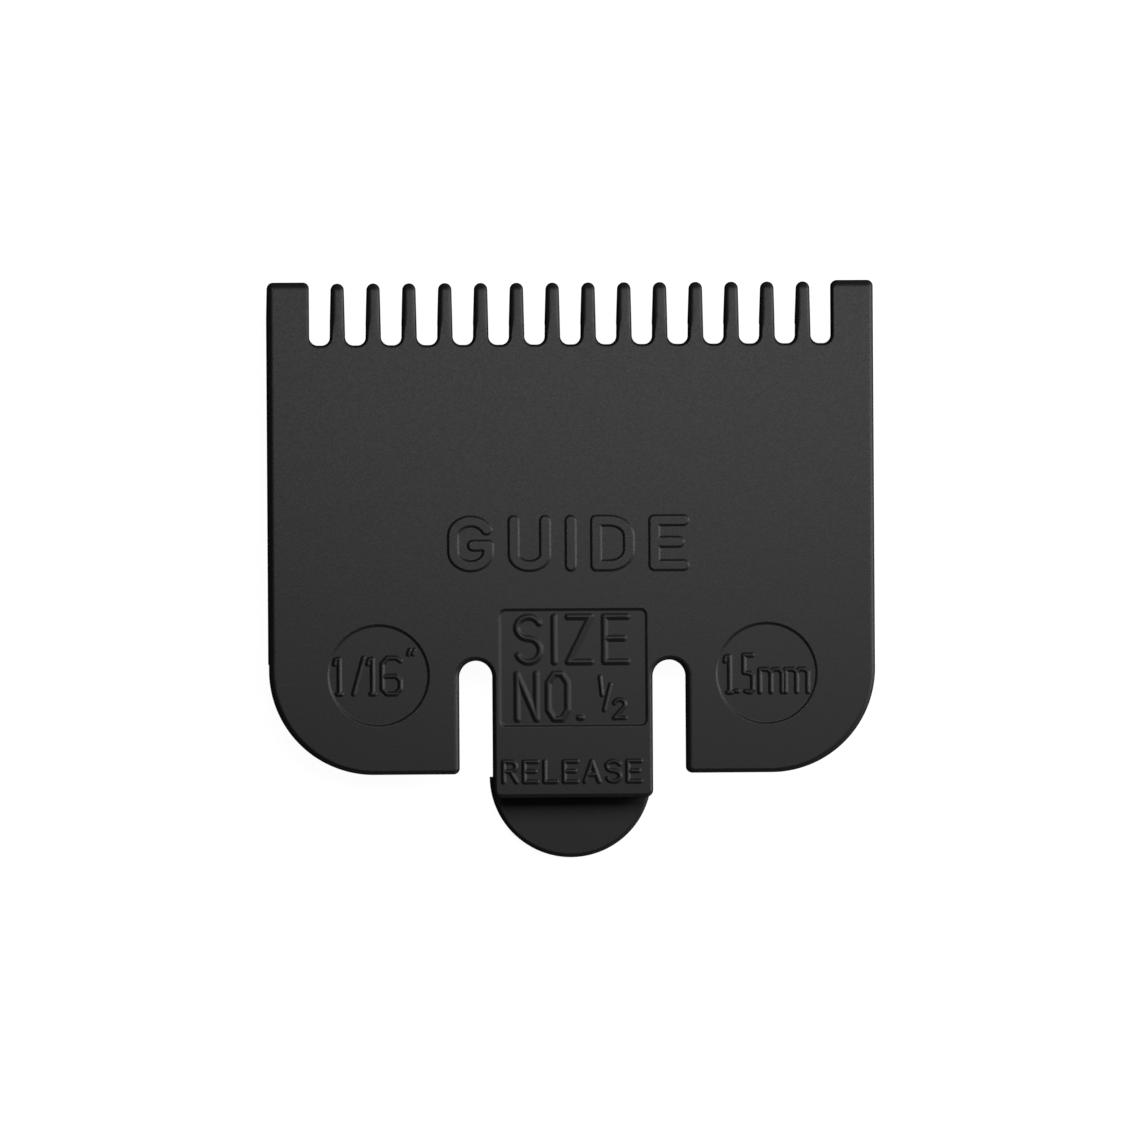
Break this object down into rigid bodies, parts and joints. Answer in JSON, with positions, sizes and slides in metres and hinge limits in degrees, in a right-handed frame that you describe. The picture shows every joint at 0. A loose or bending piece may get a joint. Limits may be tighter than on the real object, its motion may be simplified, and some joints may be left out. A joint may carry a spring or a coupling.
{
  "type": "clipper guard comb",
  "caption": "Clip-on guard comb for a hair clipper: a flat toothed sole between side rails, with a spring tongue that hooks over the blade.",
  "frame": {"origin": "under the middle of the comb, on the plane that its side rails and thumb tab rest on", "axes": "+Z out of the skin side, +Y towards the tooth tips, +X to the right when the skin side faces the viewer"},
  "size_m": [0.05, 0.0476, 0.006],
  "materials": {
    "comb_nylon": "satin, glass-filled nylon",
    "tongue_nylon": "satin, glass-filled nylon"
  },
  "bodies": {
    "comb": {"flex_web": "tongue_nylon", "left_front_ear": "comb_nylon", "left_side_rail": "comb_nylon", "left_wing": "comb_nylon", "right_front_ear": "comb_nylon", "right_side_rail": "comb_nylon", "right_wing": "comb_nylon", "sole_plate": "comb_nylon", "tongue_root": "comb_nylon", "tooth_01": "comb_nylon", "tooth_02": "comb_nylon", "tooth_03": "comb_nylon", "tooth_04": "comb_nylon", "tooth_05": "comb_nylon", "tooth_06": "comb_nylon", "tooth_07": "comb_nylon", "tooth_08": "comb_nylon", "tooth_09": "comb_nylon", "tooth_10": "comb_nylon", "tooth_11": "comb_nylon", "tooth_12": "comb_nylon", "tooth_13": "comb_nylon", "tooth_14": "comb_nylon", "tooth_bar": "comb_nylon"},
    "release_clip": {"release_tongue": "tongue_nylon", "hook_wall": "tongue_nylon", "latch_lip": "tongue_nylon", "thumb_tab": "tongue_nylon"}
  },
  "joints": [
    {"name": "tongue_flex", "type": "hinge", "parent": "comb", "child": "release_clip", "pos_m": [0, -0.00891, 0.00525], "axis": [-1, 0, 0], "range_deg": [0, 12], "stiffness_Nm_per_rad": 1.5, "deforming": ["flex_web"]}
  ]
}
